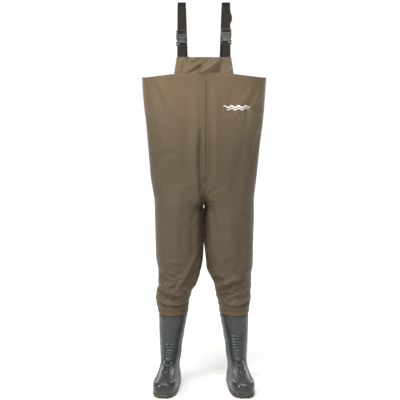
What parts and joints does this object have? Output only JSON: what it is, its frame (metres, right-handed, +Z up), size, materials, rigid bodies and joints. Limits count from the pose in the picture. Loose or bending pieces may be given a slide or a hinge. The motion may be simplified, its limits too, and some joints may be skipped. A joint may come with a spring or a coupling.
{
  "type": "chest waders",
  "caption": "Chest-high fishing waders: a sewn coated-nylon suit with a bib, moulded bootfeet and buckled shoulder straps.",
  "frame": {"origin": "on the floor, under the middle of the bounding box, between the boots", "axes": "+Z up, the front faces -Y, +X towards the wearer's left"},
  "size_m": [0.492, 0.3594, 1.5452],
  "materials": {
    "nylon": "olive-brown coated nylon with a faint fine weave and a low sheen",
    "tape": "heat-sealed seam tape, dull brown",
    "print": "screen-printed off-white ink",
    "boot": "glossy dark slate-green moulded PVC",
    "tread": "matt dark brown-black tread compound",
    "felt": "grey felt footbed",
    "webbing": "dark brown-black ribbed polypropylene webbing",
    "elastic": "dark ribbed elastic webbing",
    "buckle": "glossy black moulded acetal"
  },
  "bodies": {
    "suit": {"back_panel_left": "nylon", "back_panel_right": "nylon", "back_strap_left": "elastic", "back_strap_right": "elastic", "bib_panel": "nylon", "boot_upper_left": "boot", "boot_upper_right": "boot", "buckle_housing_left": "buckle", "buckle_housing_right": "buckle", "chest_print": "print", "front_panel_left": "nylon", "front_panel_right": "nylon", "hem_facing_back": "nylon", "hem_facing_left": "nylon", "hem_facing_right": "nylon", "insole_left": "felt", "insole_right": "felt", "leg_band_left": "nylon", "leg_band_right": "nylon", "outsole_left": "tread", "outsole_right": "tread", "seam_tape_back": "tape", "seam_tape_front": "tape", "strap_tab_left": "webbing", "strap_tab_right": "webbing", "webbing_run_left": "webbing", "webbing_run_right": "webbing", "webbing_shoulder_left": "webbing", "webbing_shoulder_right": "webbing"},
    "plug_left": {"buckle_plug_left": "buckle", "webbing_tail_left": "webbing"},
    "latch_outer_left": {"latch_outer_left": "buckle"},
    "latch_inner_left": {"latch_inner_left": "buckle"},
    "plug_right": {"buckle_plug_right": "buckle", "webbing_tail_right": "webbing"},
    "latch_outer_right": {"latch_outer_right": "buckle"},
    "latch_inner_right": {"latch_inner_right": "buckle"}
  },
  "joints": [
    {"name": "release_left", "type": "slide", "parent": "suit", "child": "plug_left", "axis": [0, 0.342, 0.9397], "range_m": [0, 0.034], "deforming": ["webbing_run_left", "latch_outer_left", "latch_inner_left"]},
    {"name": "latch_outer_left_squeeze", "type": "hinge", "parent": "plug_left", "child": "latch_outer_left", "pos_m": [0.1003, -0.0464, 1.41648], "axis": [0, 0.9397, -0.342], "range_deg": [0, 8], "stiffness_Nm_per_rad": 0.12},
    {"name": "latch_inner_left_squeeze", "type": "hinge", "parent": "plug_left", "child": "latch_inner_left", "pos_m": [0.0737, -0.0464, 1.41648], "axis": [0, -0.9397, 0.342], "range_deg": [0, 8], "stiffness_Nm_per_rad": 0.12},
    {"name": "release_right", "type": "slide", "parent": "suit", "child": "plug_right", "axis": [0, 0.342, 0.9397], "range_m": [0, 0.034], "deforming": ["webbing_run_right", "latch_outer_right", "latch_inner_right"]},
    {"name": "latch_outer_right_squeeze", "type": "hinge", "parent": "plug_right", "child": "latch_outer_right", "pos_m": [-0.1003, -0.04913, 1.40896], "axis": [0, -0.9397, 0.342], "range_deg": [0, 8], "stiffness_Nm_per_rad": 0.12},
    {"name": "latch_inner_right_squeeze", "type": "hinge", "parent": "plug_right", "child": "latch_inner_right", "pos_m": [-0.0737, -0.04913, 1.40896], "axis": [0, 0.9397, -0.342], "range_deg": [0, 8], "stiffness_Nm_per_rad": 0.12}
  ],
  "couplings": [
    {"joint": "latch_inner_left_squeeze", "follows": "latch_outer_left_squeeze", "ratio": 1},
    {"joint": "latch_inner_right_squeeze", "follows": "latch_outer_right_squeeze", "ratio": 1}
  ]
}
